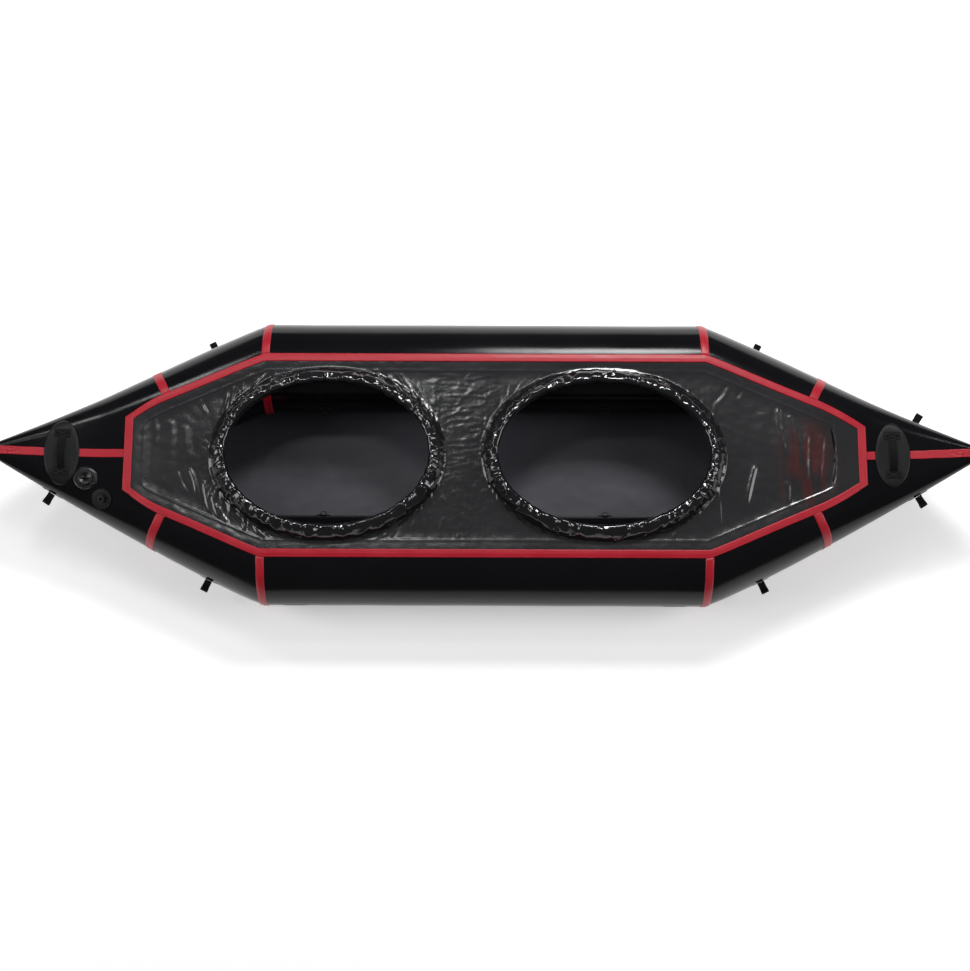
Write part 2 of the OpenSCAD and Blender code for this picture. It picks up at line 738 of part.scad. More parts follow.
port() bow() at_side(end_loop_x) tie_down_loop();  // port_bow_loop
starboard() stern() at_side(side_loop_x) tie_down_loop();  // starboard_aft_loop
starboard() bow() at_side(side_loop_x) tie_down_loop();  // starboard_fore_loop
starboard() bow() at_side(end_loop_x) tie_down_loop();  // starboard_bow_loop
starboard() stern() at_side(end_loop_x) tie_down_loop();  // starboard_stern_loop
seat_anchors(-rear_cockpit_x - 20);  // rear_seat_anchors
seat_anchors(front_cockpit_x + 10);  // front_seat_anchors
inflation_flange();
inflation_neck();
inflation_poppet();
inflation_spring();
inflation_seal();
inflation_tether();
inflation_cap();
mouth_flange();
mouth_body();
mouth_nozzle();
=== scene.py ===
import json
import math
import random

import bmesh
import bpy
from mathutils import Matrix, Vector, noise


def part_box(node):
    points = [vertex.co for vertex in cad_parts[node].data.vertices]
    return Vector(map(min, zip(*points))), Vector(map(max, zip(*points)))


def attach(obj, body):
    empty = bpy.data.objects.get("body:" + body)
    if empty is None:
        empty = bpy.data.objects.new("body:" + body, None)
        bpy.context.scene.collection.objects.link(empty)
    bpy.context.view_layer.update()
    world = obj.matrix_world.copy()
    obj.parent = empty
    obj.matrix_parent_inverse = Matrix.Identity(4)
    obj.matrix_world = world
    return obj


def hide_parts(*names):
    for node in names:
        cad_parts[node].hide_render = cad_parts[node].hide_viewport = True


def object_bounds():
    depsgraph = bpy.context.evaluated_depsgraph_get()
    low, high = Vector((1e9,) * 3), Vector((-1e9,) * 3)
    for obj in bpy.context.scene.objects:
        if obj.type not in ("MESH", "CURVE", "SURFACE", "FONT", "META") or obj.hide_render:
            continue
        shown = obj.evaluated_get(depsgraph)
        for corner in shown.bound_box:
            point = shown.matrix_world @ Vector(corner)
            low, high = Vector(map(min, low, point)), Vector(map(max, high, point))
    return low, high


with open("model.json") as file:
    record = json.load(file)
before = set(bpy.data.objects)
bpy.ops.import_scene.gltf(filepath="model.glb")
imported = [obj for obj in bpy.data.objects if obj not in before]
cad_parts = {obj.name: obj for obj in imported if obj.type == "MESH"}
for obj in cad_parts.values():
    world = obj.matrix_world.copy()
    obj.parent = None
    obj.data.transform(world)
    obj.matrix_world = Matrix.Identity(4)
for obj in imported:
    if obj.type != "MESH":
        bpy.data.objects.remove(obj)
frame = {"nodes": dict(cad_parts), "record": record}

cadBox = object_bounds()

# the camera looks nearly straight down and leans a little to starboard
cameraLook = {"elevation": 78.5, "distance": 5.65, "aimY": -0.0726, "aimZ": 0.15, "lens": 62.6, "roll": 0.2}


def makeCamera(look):
    data = bpy.data.cameras.new("camera")
    camera = bpy.data.objects.new("camera", data)
    bpy.context.scene.collection.objects.link(camera)
    lift = math.radians(look["elevation"])
    back = Vector((0, -math.cos(lift), math.sin(lift)))
    camera.location = Vector((0, look["aimY"], look["aimZ"])) + back * look["distance"]
    turn = (-back).to_track_quat("-Z", "Y").to_matrix().to_4x4()
    camera.rotation_euler = (turn @ Matrix.Rotation(math.radians(look["roll"]), 4, "Z")).to_euler()
    data.lens = look["lens"]
    data.sensor_width = 36
    bpy.context.scene.camera = camera


makeCamera(cameraLook)

# the hull's own shape, with its sizes read from the frame
midLow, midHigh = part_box("port_mid_tube")
deckLow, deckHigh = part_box("deck_sheet")
halfLength = cadBox[1].x
halfWidth = midHigh.y
tubeRadius = (midHigh.z - midLow.z) / 2
crownHeight = midHigh.z
jointX = midHigh.x
tipRadius = 0.015
tipHalf = tipRadius + 0.005
riseX = deckHigh.x + 0.027
seamSlant = 0.44
tapeWidth = 0.027
mergeX = 1.0865
mergeEnd = -deckLow.x - tapeWidth / 2
deckEnds = {-1: -deckLow.x, 1: deckHigh.x}
seams = {-1: 1.045, 1: 1.073}
deckTuck = 0.024
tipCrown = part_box("port_bow_cone")[1].z
endNames = {-1: "stern", 1: "bow"}
shoulderNames = {-1: "aft", 1: "fore"}
sides = (("port", False), ("starboard", True))


def smooth(t):
    t = min(1, max(0, t))
    return t * t * (3 - 2 * t)


def run(d):
    return max(0, d - jointX) / (halfLength - jointX)


def hullHalf(d):
    return halfWidth - (halfWidth - tipHalf) * run(d) ** 1.1


def hullRadius(d):
    return tubeRadius - (tubeRadius - tipRadius) * run(d) ** 2.1


def hullCentre(d):
    return hullHalf(d) - hullRadius(d)


def hullCrown(d):
    return crownHeight + (tipCrown - crownHeight) * (max(0, d - riseX) / (halfLength - riseX)) ** 1.5


# a point of the skin on the port bow quarter: 0 is outboard, 90 the crown, 180 inboard
def skinPoint(d, angle, lift=0.0, slant=0.0):
    a = math.radians(angle)
    c, s = math.cos(a), math.sin(a)
    x = min(halfLength, d + slant * hullRadius(d) * c)
    r, k, side = hullRadius(x), 1.0, hullRadius(x)
    if c < 0:
        merged = min(1, max(0, x - mergeX) / (mergeEnd - mergeX))
        k = 1 + (1 / max(abs(c), abs(s)) - 1) * merged
        side = r * (1 - merged) + (hullCentre(x) - 0.0003) * merged
    return Vector((x, hullCentre(x) + k * (side + lift) * c, hullCrown(x) - r + k * (r + lift) * s))


def topHeight(d, y):
    r, out = hullRadius(d), max(0, abs(y) - hullCentre(d))
    return hullCrown(d) - r + math.sqrt(max(0, r * r - out * out))


def deckHalf(x):
    end = 1 if x > 0 else -1
    d, reach = abs(x), deckEnds[end]
    return hullCentre(d) - deckTuck * (max(0, d - seams[end]) / (reach - seams[end])) ** 2


# sharp-crested noise from 0 to 1
def ridged(x, y, z=0.0):
    return 1 - min(1, abs(noise.noise(Vector((x, y, z)))) * 2.2)


# a grid whose points place(u, v) puts where they belong
def gridMesh(across, along, place, closed=False):
    bm = bmesh.new()
    bmesh.ops.create_grid(bm, x_segments=across, y_segments=along, size=1)
    for v in bm.verts:
        v.co = place((v.co.x + 1) / 2, (v.co.y + 1) / 2)
    if closed:
        bmesh.ops.remove_doubles(bm, verts=bm.verts, dist=0.00002)
    return bm


def mergeInto(bm, part, matrix=None):
    mesh = bpy.data.meshes.new("part")
    if matrix:
        bmesh.ops.transform(part, matrix=matrix, verts=part.verts)
    part.to_mesh(mesh)
    part.free()
    bm.from_mesh(mesh)
    bpy.data.meshes.remove(mesh)


def addPiece(bm, name, material, body="hull", node=(), mirrorX=False, mirrorY=False, thick=0.0):
    if mirrorX or mirrorY:
        bmesh.ops.scale(bm, vec=(-1 if mirrorX else 1, -1 if mirrorY else 1, 1), verts=bm.verts)
    bmesh.ops.recalc_face_normals(bm, faces=bm.faces)
    if thick:
        if sum(f.normal.z * f.calc_area() for f in bm.faces) < 0:
            bmesh.ops.reverse_faces(bm, faces=bm.faces)
        bmesh.ops.solidify(bm, geom=bm.faces[:], thickness=thick)
        bmesh.ops.recalc_face_normals(bm, faces=bm.faces)
    mesh = bpy.data.meshes.new(name)
    bm.to_mesh(mesh)
    bm.free()
    for face in mesh.polygons:
        face.use_smooth = True
    mesh.materials.append(material)
    piece = bpy.data.objects.new(name, mesh)
    bpy.context.scene.collection.objects.link(piece)
    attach(piece, body)
    if node:
        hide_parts(*([node] if isinstance(node, str) else node))
    return piece


# a rounded box in its own frame
def roundedBox(size, centre, round_, segments=2):
    bm = bmesh.new()
    bmesh.ops.create_cube(bm, size=1)
    bmesh.ops.scale(bm, vec=size, verts=bm.verts)
    bmesh.ops.translate(bm, vec=centre, verts=bm.verts)
    bmesh.ops.bevel(bm, geom=bm.edges[:], offset=round_, segments=segments, profile=0.5, affect="EDGES",
                    material=-1)
    return bm


# a closed profile of (radius, height) points turned round Z
def turned(profile, steps=72):
    bm = bmesh.new()
    verts = [bm.verts.new((r, 0, z)) for r, z in profile]
    edges = [bm.edges.new((verts[i], verts[(i + 1) % len(verts)])) for i in range(len(verts))]
    bmesh.ops.spin(bm, geom=verts + edges, cent=(0, 0, 0), axis=(0, 0, 1), angle=2 * math.pi, steps=steps,
                   use_merge=True)
    bmesh.ops.remove_doubles(bm, verts=bm.verts, dist=0.00001)
    return bm


# a rounded ring of rectangular section
def roundRing(inner, outer, low, high, round_, steps=72):
    profile = []
    for cx, cz, start in ((outer - round_, high - round_, 0), (inner + round_, high - round_, 90),
                          (inner + round_, low + round_, 180), (outer - round_, low + round_, 270)):
        for k in range(4):
            a = math.radians(start + 30 * k)
            profile.append((cx + round_ * math.cos(a), cz + round_ * math.sin(a)))
    return turned(profile, steps)


def fromHex(code):
    parts = [int(code[i:i + 2], 16) / 255 for i in (1, 3, 5)]
    return [p / 12.92 if p <= 0.04045 else ((p + 0.055) / 1.055) ** 2.4 for p in parts] + [1]


def addNode(tree, kind, settings=None, links=None):
    node = tree.nodes.new(kind)
    for key, value in (settings or {}).items():
        if isinstance(key, int) or key in node.inputs:
            node.inputs[key].default_value = value
        else:
            setattr(node, key, value)
    for key, source in (links or {}).items():
        tree.links.new(source, node.inputs[key])
    return node


def newMaterial(name):
    material = bpy.data.materials.new(name)
    material.use_nodes = True
    tree = material.node_tree
    return material, tree, tree.nodes["Principled BSDF"]


def mixColors(tree, factor, dark, light):
    mix = addNode(tree, "ShaderNodeMix", {"data_type": "RGBA"}, {0: factor})
    mix.inputs[6].default_value = fromHex(dark)
    mix.inputs[7].default_value = fromHex(light)
    return mix.outputs[2]


# pattern scales and bump depths; a wave of scale s repeats every 0.314 / s metres
fabricLook = {"yarnScale": 260.0, "yarnDepth": 0.0002, "foldDepth": 0.002}
webbingLook = {"ribScale": 157.0, "rowScale": 130.0, "depth": 0.0006, "rough": 0.62, "specular": 0.12,
               "sheen": 0.06}
mouldLook = {"markScale": 60.0, "peelScale": 1400.0, "peelDepth": 0.0002}


# nylon with a welded plastic film: a faint weave under a glossy skin, rubbed duller in places
def coatedFabric(name, look):
    material, tree, shader = newMaterial(name)
    place = addNode(tree, "ShaderNodeTexCoord").outputs["Object"]
    cloud = addNode(tree, "ShaderNodeTexNoise", {"Scale": look["cloudScale"], "Detail": 4.0},
                    {"Vector": place}).outputs[0]
    color = mixColors(tree, cloud, look["dark"], look["light"])
    rough = addNode(tree, "ShaderNodeMapRange", {"From Min": 0.3, "From Max": 0.7, "To Min": look["rough"][0],
                                                 "To Max": look["rough"][1]}, {"Value": cloud})
    # yarns 0.35 mm apart are drawn 1.2 mm apart, so that they show at all
    weave = [addNode(tree, "ShaderNodeTexWave", {"bands_direction": way, "Scale": fabricLook["yarnScale"]},
                     {"Vector": place})
             for way in ("X", "Y")]
    cross = addNode(tree, "ShaderNodeMath", {"operation": "ADD"},
                    {0: weave[0].outputs[1], 1: weave[1].outputs[1]})
    crinkle = addNode(tree, "ShaderNodeTexNoise", {"Scale": look["crinkleScale"], "Detail": 5.0,
                                                   "Roughness": 0.6}, {"Vector": place})
    yarns = addNode(tree, "ShaderNodeBump", {"Strength": look["weave"], "Distance": fabricLook["yarnDepth"]},
                    {"Height": cross.outputs[0]})
    folds = addNode(tree, "ShaderNodeBump",
                    {"Strength": look["crinkle"], "Distance": fabricLook["foldDepth"]},
                    {"Height": crinkle.outputs[0], "Normal": yarns.outputs[0]})
    if "glow" in look:
        # painted reflection: red streaks standing in for a reflected red thing, mixed into the film's colour
        # near the bow
        spot = addNode(tree, "ShaderNodeMapping", {"Location": look["glow"]["offset"],
                                                   "Scale": look["glow"]["scale"]}, {"Vector": place})
        ball = addNode(tree, "ShaderNodeTexGradient", {"gradient_type": "SPHERICAL"},
                       {"Vector": spot.outputs[0]})
        stretch = addNode(tree, "ShaderNodeMapping", {"Scale": (34, 5, 1)}, {"Vector": place})
        streak = addNode(tree, "ShaderNodeTexNoise", {"Scale": 1.0, "Detail": 2.0},
                         {"Vector": stretch.outputs[0]})
        sharp = addNode(tree, "ShaderNodeMapRange", {"From Min": 0.42, "From Max": 0.68},
                        {"Value": streak.outputs[0]})
        amount = addNode(tree, "ShaderNodeMath", {"operation": "MULTIPLY"},
                         {0: ball.outputs[1], 1: sharp.outputs[0]})
        glow = addNode(tree, "ShaderNodeMix", {"data_type": "RGBA"}, {0: amount.outputs[0], 6: color})
        glow.inputs[7].default_value = fromHex(look["glow"]["color"])
        color = glow.outputs[2]
    tree.links.new(color, shader.inputs["Base Color"])
    tree.links.new(rough.outputs[0], shader.inputs["Roughness"])
    tree.links.new(folds.outputs[0], shader.inputs["Normal"])
    shader.inputs["IOR"].default_value = look.get("ior", 1.5)
    shader.inputs["Specular IOR Level"].default_value = look["specular"]
    shader.inputs["Coat Weight"].default_value = look["coat"]
    shader.inputs["Coat Roughness"].default_value = look["coatRough"]
    return material


# flat nylon webbing: rows of thick ribs, dull with a fuzzy sheen
def wovenWebbing(name, dark, light):
    material, tree, shader = newMaterial(name)
    place = addNode(tree, "ShaderNodeTexCoord").outputs["Object"]
    # ribs 2 mm apart along the band and rows 2.4 mm apart across it
    ribs = addNode(tree, "ShaderNodeTexWave", {"bands_direction": "Y", "Scale": webbingLook["ribScale"],
                                               "Distortion": 0.6}, {"Vector": place})
    rows = addNode(tree, "ShaderNodeTexWave", {"bands_direction": "X", "Scale": webbingLook["rowScale"]},
                   {"Vector": place})
    height = addNode(tree, "ShaderNodeMath", {"operation": "MULTIPLY"},
                     {0: ribs.outputs[1], 1: rows.outputs[1]})
    bump = addNode(tree, "ShaderNodeBump", {"Strength": 0.7, "Distance": webbingLook["depth"]},
                   {"Height": height.outputs[0]})
    tree.links.new(mixColors(tree, height.outputs[0], dark, light), shader.inputs["Base Color"])
    tree.links.new(bump.outputs[0], shader.inputs["Normal"])
    shader.inputs["Roughness"].default_value = webbingLook["rough"]
    shader.inputs["Specular IOR Level"].default_value = webbingLook["specular"]
    shader.inputs["Sheen Weight"].default_value = webbingLook["sheen"]
    shader.inputs["Sheen Roughness"].default_value = 0.4
    return material


# moulded or drawn parts: a fine orange-peel skin, and handling marks that change the gloss
def mouldedPart(name, look):
    material, tree, shader = newMaterial(name)
    place = addNode(tree, "ShaderNodeTexCoord").outputs["Object"]
    marks = addNode(tree, "ShaderNodeTexNoise", {"Scale": mouldLook["markScale"], "Detail": 6.0,
                                                 "Roughness": 0.7}, {"Vector": place}).outputs[0]
    peel = addNode(tree, "ShaderNodeTexNoise", {"Scale": mouldLook["peelScale"], "Detail": 2.0},
                   {"Vector": place})
    rough = addNode(tree, "ShaderNodeMapRange", {"To Min": look["rough"][0], "To Max": look["rough"][1]},
                    {"Value": marks})
    bump = addNode(tree, "ShaderNodeBump", {"Strength": 0.15, "Distance": mouldLook["peelDepth"]},
                   {"Height": peel.outputs[0]})
    tree.links.new(mixColors(tree, marks, look["dark"], look["light"]), shader.inputs["Base Color"])
    tree.links.new(rough.outputs[0], shader.inputs["Roughness"])
    tree.links.new(bump.outputs[0], shader.inputs["Normal"])
    shader.inputs["Metallic"].default_value = look.get("metal", 0.0)
    shader.inputs["Coat Weight"].default_value = look.get("coat", 0.0)
    return material


# black coated nylon, calendered smooth: deep black with broad soft glare
tubeNylon = coatedFabric("coatedNylonBlack", {
    "dark": "#08080a", "light": "#0f0f12", "cloudScale": 3.0, "rough": (0.1, 0.18), "crinkleScale": 35.0,
    "weave": 0.08, "crinkle": 0.05, "specular": 0.45, "coat": 0.0, "coatRough": 0.2, "ior": 1.33})
# red coated nylon tape, heat-welded: even red, slightly waxy
tapeNylon = coatedFabric("weldedSeamTapeRed", {
    "dark": "#9a0e20", "light": "#b0182b", "cloudScale": 14.0, "rough": (0.34, 0.46), "crinkleScale": 90.0,
    "weave": 0.12, "crinkle": 0.1, "specular": 0.4, "coat": 0.1, "coatRough": 0.25})
# thin film laminate over light nylon, creased: dark grey with sharp wet-looking glints, and a painted red
# reflection near the bow
deckNylon = coatedFabric("filmLaminateDeckGrey", {
    "dark": "#1d1d1f", "light": "#272729", "cloudScale": 5.0, "rough": (0.17, 0.26), "crinkleScale": 60.0,
    "weave": 0.08, "crinkle": 0.14, "specular": 0.5, "coat": 0.35, "coatRough": 0.08,
    "glow": {"offset": (-8.8, 0.2, -1.0), "scale": (8.4, 5.5, 3.3), "color": "#5a1812"}})
# the same film gathered over the hoops, doubled and so darker
coamingNylon = coatedFabric("filmLaminateGatheredBlack", {
    "dark": "#08080a", "light": "#151518", "cloudScale": 10.0, "rough": (0.1, 0.16), "crinkleScale": 40.0,
    "weave": 0.03, "crinkle": 0.05, "specular": 0.5, "coat": 0.5, "coatRough": 0.05})
# heavy coated floor nylon, satin with a cool grey glare
floorNylon = coatedFabric("coatedFloorNylonGrey", {
    "dark": "#36363c", "light": "#45454d", "cloudScale": 3.5, "rough": (0.36, 0.48), "crinkleScale": 30.0,
    "weave": 0.25, "crinkle": 0.12, "specular": 0.4, "coat": 0.1, "coatRough": 0.3})
# black patches welded on, satin so that they part from the glossy tubes
patchNylon = coatedFabric("weldedPatchBlack", {
    "dark": "#08090a", "light": "#0f1012", "cloudScale": 9.0, "rough": (0.34, 0.46), "crinkleScale": 60.0,
    "weave": 0.25, "crinkle": 0.15, "specular": 0.25, "coat": 0.05, "coatRough": 0.3})
blackWebbing = wovenWebbing("wovenNylonWebbingBlack", "#040405", "#121214")
# bonded polyester sewing thread, dark with a waxy shine
blackThread = mouldedPart("bondedPolyesterThread", {"dark": "#2a2a2d", "light": "#3c3c40",
                                                    "rough": (0.35, 0.5)})
# moulded flange of soft plastic, semi-gloss
flangePlastic = mouldedPart("mouldedSoftPlasticFlange", {"dark": "#0f1011", "light": "#18191b",
                                                         "rough": (0.2, 0.32), "coat": 0.4})
# moulded nylon of the neck and cap, glossier where fingers rub it
valvePlastic = mouldedPart("mouldedNylonValve", {"dark": "#060607", "light": "#0e0e10", "rough": (0.25, 0.4)})
# extruded hoop tube, moulded seals and drawn spring wire, seen only inside the cockpits and the valve
hoopPlastic = mouldedPart("extrudedPolyethyleneHoop", {"dark": "#18181a", "light": "#232325",
                                                       "rough": (0.4, 0.5)})
sealRubber = mouldedPart("mouldedRubberSeal", {"dark": "#0a0a0b", "light": "#121213", "rough": (0.6, 0.7)})
springSteel = mouldedPart("drawnSpringSteel", {"dark": "#a5a8ab", "light": "#c4c6c8", "rough": (0.2, 0.3),
                                               "metal": 1.0})
print("materials made")

# air tubes, with slow swells and puckers beside the seams
tubeLook = {"around": 96, "step": 0.012, "swell": 0.0007, "pucker": 0.0012, "puckerReach": 0.045}


def tubeSkin(d, angle, low, high, slants):
    t = (d - low) / (high - low)
    slant = slants[0] * (1 - t) + slants[1] * t
    p = skinPoint(d, angle, 0, slant)
    near = min(d - low, high - d if high < halfLength - 0.01 else 9)
    pucker = tubeLook["pucker"] * math.exp(-near / tubeLook["puckerReach"]) * smooth(near / 0.015)
    wave = noise.noise(Vector((angle / 7.0, d * 4, 3.1)))
    swell = tubeLook["swell"] * noise.noise(Vector((d * 6, p.y * 9, p.z * 9)))
    return skinPoint(d, angle, swell + pucker * wave, slant)


def addTube(name, node, place, rows, mirrorX, mirrorY):
    bm = gridMesh(tubeLook["around"], rows, place, closed=True)
    bmesh.ops.holes_fill(bm, edges=[e for e in bm.edges if e.is_boundary], sides=0)
    addPiece(bm, name, tubeNylon, node=node, mirrorX=mirrorX, mirrorY=mirrorY)


def midSkin(u, v):
    x = jointX * (2 * v - 1)
    return Vector((x, *tubeSkin(abs(x), 360 * u, -1, jointX, (0, 0)).yz))


for side, flipY in sides:
    addTube(side + "MidTube", side + "_mid_tube", midSkin, round(2 * jointX / tubeLook["step"]), False, flipY)
    for end, seam in seams.items():
        for low, high, slants, word, kind in (
                (jointX, seam, (0, seamSlant), shoulderNames[end], "tube"),
                (seam, halfLength, (seamSlant, 0), endNames[end], "cone")):
            addTube(side + word.title() + kind.title(), "%s_%s_%s" % (side, word, kind),
                    lambda u, v: tubeSkin(low + (high - low) * v, 360 * u, low, high, slants),
                    round((high - low) / tubeLook["step"]), end < 0, flipY)
print("tubes made")

# floor, pulled flat between the tubes with long soft ripples
floorLook = {"across": 60, "along": 300, "ripple": 0.0016, "thick": 0.0014}
floorLow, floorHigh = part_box("floor_sheet")


def floorPlace(u, v):
    x = floorLow.x + (floorHigh.x - floorLow.x) * v
    edge = skinPoint(abs(x), 238, 0.0034)
    w = 2 * u - 1
    rest = smooth((1 - abs(w)) * 6)
    ripple = noise.noise(Vector((x * 5, w * 2.0, 1))) + 0.35 * noise.noise(Vector((x * 22, w * 7, 5)))
    return Vector((x, edge.y * w, edge.z + 0.0008 + rest * (0.002 + floorLook["ripple"] * ripple)))


floorPiece = addPiece(gridMesh(floorLook["across"], floorLook["along"], floorPlace), "floor", floorNylon,
                      node="floor_sheet", thick=-floorLook["thick"])
print("floor made")

# deck: a smooth border by the tape, a sewn ridge, and folded film inside it
deckLook = {"across": 148, "along": 520, "sag": 0.0055, "seamAt": 0.043, "ridge": 0.0009, "crumple": 0.0010,
            "wave": 0.0003, "clear": 0.0007, "border": 0.0006,
            "ridgeWidth": 0.003, "coamingGap": 0.046, "coamingFade": 0.014, "betweenX": 0.07,
            "betweenHalf": 0.12, "cornerBlend": 0.006, "slantLean": 0.91, "foldReach": 3.5,
            "thick": 0.0005, "seed": 11}
deckTop = deckHigh.z
cockpits = {}
for name in ("rear", "front"):
    low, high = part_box(name + "_coaming_sleeve")
    cockpits[name] = {"x": (low.x + high.x) / 2, "a": (high.x - low.x) / 2 - 0.05, "b": high.y - 0.05,
                      "base": low.z, "height": high.z - low.z, "width": 0.05}
# fans of folds beside a coaming: between two angles, with their number, length, width, height and how far
# they lean outwards
foldFans = (("rear", 198, 262, 34, (0.05, 0.12), (0.0025, 0.005), (0.0012, 0.0030), (12, 50)),
            ("rear", 98, 155, 24, (0.04, 0.11), (0.0025, 0.005), (0.0010, 0.0026), (10, 45)),
            ("rear", 15, 78, 30, (0.06, 0.18), (0.0022, 0.0045), (0.0010, 0.0024), (5, 40)),
            ("rear", 282, 350, 28, (0.05, 0.14), (0.0022, 0.004), (0.0010, 0.0022), (8, 45)),
            ("rear", 160, 198, 5, (0.03, 0.06), (0.004, 0.006), (0.0005, 0.0012), (40, 80)),
            ("front", 102, 168, 16, (0.03, 0.09), (0.0025, 0.004), (0.0007, 0.0016), (10, 50)),
            ("front", 192, 262, 20, (0.03, 0.10), (0.0025, 0.004), (0.0007, 0.0018), (10, 50)),
            ("front", 285, 345, 9, (0.03, 0.08), (0.003, 0.005), (0.0006, 0.0014), (15, 60)),
            ("front", 20, 75, 9, (0.03, 0.08), (0.003, 0.005), (0.0006, 0.0014), (15, 60)))
# long single folds: from, to, width, height
longFolds = [
    (-0.965, -0.045, -0.934, -0.158, 0.0045, 0.0032),
    (-1.004, -0.055, -0.957, -0.145, 0.004, 0.0014),
    (-0.915, -0.085, -0.880, -0.222, 0.0055, 0.0036),
    (-0.893, -0.125, -0.853, -0.232, 0.005, 0.0030),
    (-0.872, -0.165, -0.822, -0.250, 0.005, 0.0030),
    (-0.939, 0.190, -0.908, 0.125, 0.005, 0.0020),
    (-1.090, 0.135, -1.080, 0.030, 0.008, 0.0012),
    (-1.035, 0.120, -1.030, -0.030, 0.012, 0.0014),
    (-0.985, 0.100, -0.975, -0.020, 0.014, 0.0016),
    (0.884, -0.030, 0.846, -0.190, 0.007, 0.0034),
    (0.757, -0.100, 0.766, -0.270, 0.004, 0.0022),
    (0.962, 0.165, 0.992, -0.010, 0.008, 0.0036),
    (1.000, 0.140, 1.028, 0.030, 0.008, 0.0022),
    (0.985, -0.080, 0.975, -0.190, 0.008, 0.0020),
    (1.056, 0.090, 1.050, -0.130, 0.010, 0.0020),
    (1.105, 0.080, 1.085, -0.120, 0.010, 0.0018),
    (1.150, 0.060, 1.148, -0.080, 0.009, 0.0014),
    (0.795, 0.240, 0.742, 0.168, 0.006, -0.0022),
    (0.845, 0.225, 0.828, 0.190, 0.005, -0.0016),
    (0.915, 0.150, 0.905, 0.020, 0.016, 0.0012),
]


def edgeDistance(x, y):
    lean = deckLook["slantLean"] if abs(x) > jointX else 1.0
    side, end = (deckHalf(x) - abs(y)) * lean, deckEnds[1 if x > 0 else -1] - abs(x)
    blend = deckLook["cornerBlend"]
    return min(side, end) - blend * math.log(1 + math.exp(-min(0.3, abs(side - end)) / blend))


# angle round a cockpit, and roughly how far outside its opening
def ovalPlace(cockpit, x, y):
    dx, dy = (x - cockpit["x"]) / cockpit["a"], y / cockpit["b"]
    angle = math.atan2(dy, dx)
    size = 1 / math.hypot(math.cos(angle) / cockpit["a"], math.sin(angle) / cockpit["b"])
    return angle, (math.hypot(dx, dy) - 1) * size


def layFolds():
    draw = random.Random(deckLook["seed"])
    folds = list(longFolds)
    for name, start, stop, count, lengths, widths, heights, leans in foldFans:
        c = cockpits[name]
        for k in range(count):
            t = math.radians(start + (stop - start) * (k + draw.uniform(0.1, 0.9)) / count)
            out = draw.uniform(0.03, 0.065)
            root = Vector((c["x"] + (c["a"] + out) * math.cos(t), (c["b"] + out) * math.sin(t)))
            away = Vector((math.cos(t) / c["a"], math.sin(t) / c["b"])).normalized()
            along = Vector((-away.y, away.x)) * (1 if away.x * away.y > 0 else -1)
            lean = math.radians(draw.uniform(*leans))
            away = along * math.cos(lean) + away * math.sin(lean)
            tip = root + away * draw.uniform(*lengths)
            folds.append((root.x, root.y, tip.x, tip.y, draw.uniform(*widths), draw.uniform(*heights)))
    laid = []
    for x0, y0, x1, y1, width, height in folds:
        length = math.hypot(x1 - x0, y1 - y0)
        reach = deckLook["foldReach"] * width
        laid.append((x0, y0, (x1 - x0) / length, (y1 - y0) / length, length, width, height,
                     min(x0, x1) - reach, max(x0, x1) + reach, min(y0, y1) - reach, max(y0, y1) + reach,
                     draw.uniform(-0.06, 0.06)))
    return laid


deckFolds = layFolds()


def foldHeight(x, y):
    total = 0
    for x0, y0, ux, uy, length, width, height, left, right, low, high, bend in deckFolds:
        if left < x < right and low < y < high:
            along = (x - x0) * ux + (y - y0) * uy
            if 0 < along < length:
                t = along / length
                off = ((y - y0) * ux - (x - x0) * uy - bend * length * 4 * t * (1 - t)) / width
                if abs(off) < deckLook["foldReach"]:
                    crest = math.exp(-off * off) - 0.45 * math.exp(-(off - 1.7) ** 2)
                    total += height * crest * smooth(t / 0.12) * smooth((1 - t) / 0.45)
    return total


# the tube's top inboard of its crown, measured from the deck's plane
def tubeTop(x, y):
    d = abs(x)
    r, inboard = hullRadius(d), max(0, hullCentre(d) - abs(y))
    merged = min(1, max(0, d - mergeX) / (mergeEnd - mergeX))
    return crownHeight - deckTop - (r - math.sqrt(max(0, r * r - inboard * inboard))) * (1 - merged)


def deckHeight(x, y):
    edge = edgeDistance(x, y)
    away = min(ovalPlace(c, x, y)[1] for c in cockpits.values())
    clear = smooth((away - deckLook["coamingGap"]) / deckLook["coamingFade"])
    seam = deckLook["ridge"] * math.exp(-((edge - deckLook["seamAt"]) / deckLook["ridgeWidth"]) ** 2)
    seam *= 1 + 0.4 * noise.noise(Vector((x * 60, y * 60, 2)))
    inner = smooth((edge - deckLook["seamAt"]) / 0.02)
    between = math.exp(-((x + deckLook["betweenX"]) / deckLook["betweenHalf"]) ** 4)
    lengthwise = ridged(x * 13 + y * 6, y * 46 - x * 9, 2.0) ** 4
    crosswise = ridged(x * 44 + y * 8, y * 13, 7.0) ** 4
    share = smooth(0.5 + 4 * y + noise.noise(Vector((x * 6, y * 6, 1))))
    fine = 0.35 * ridged(x * 60, y * 66, 5.0) ** 2
    crumple = deckLook["crumple"] * (0.01 + between) * (lengthwise * share + crosswise * (1 - share) + fine)
    wave = deckLook["wave"] * noise.noise(Vector((x * 9, y * 3.5, 8)))
    border = deckLook["border"] * noise.noise(Vector((x * 40, y * 40, 6))) * smooth((edge - 0.012) / 0.01)
    sag = -deckLook["sag"] * smooth((edge - 0.005) / 0.07)
    folded = inner * (crumple + wave + foldHeight(x, y)) * smooth((away - 0.03) / 0.02)
    height = clear * (sag + seam + border) + folded
    return max(height, tubeTop(x, y) + deckLook["thick"] + deckLook["clear"])


def deckPlace(u, v):
    x = deckLow.x + (deckHigh.x - deckLow.x) * v
    y = deckHalf(x) * (2 * u - 1)
    return Vector((x, y, deckTop + deckHeight(x, y)))


